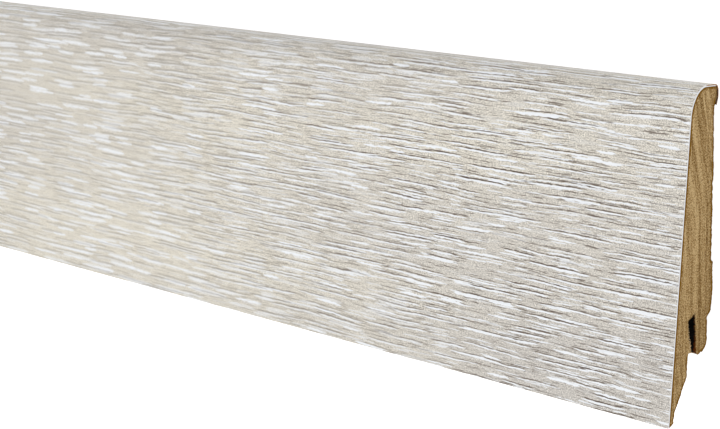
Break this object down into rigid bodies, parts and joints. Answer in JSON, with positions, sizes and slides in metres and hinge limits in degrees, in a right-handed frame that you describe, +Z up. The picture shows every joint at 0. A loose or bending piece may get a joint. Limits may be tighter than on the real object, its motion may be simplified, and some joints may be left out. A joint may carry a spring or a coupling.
{
  "type": "skirting board length",
  "caption": "Straight length of skirting board: a fibreboard core with a leaning front, a rounded top and a clip slot, wrapped in an embossed pale oak decor film.",
  "frame": {"origin": "under the middle of the board's box, on the floor it lies on", "axes": "+X along the length, +Y from the toe towards the top edge, +Z up, on the decor side"},
  "size_m": [2.4, 0.0586, 0.0164],
  "materials": {
    "fibreboard": "raw fibreboard, sawn across at both ends",
    "decor_film": "matt embossed film printed as limed oak"
  },
  "bodies": {
    "root": {"fibreboard_core": "fibreboard", "decor_film": "decor_film"}
  },
  "joints": []
}
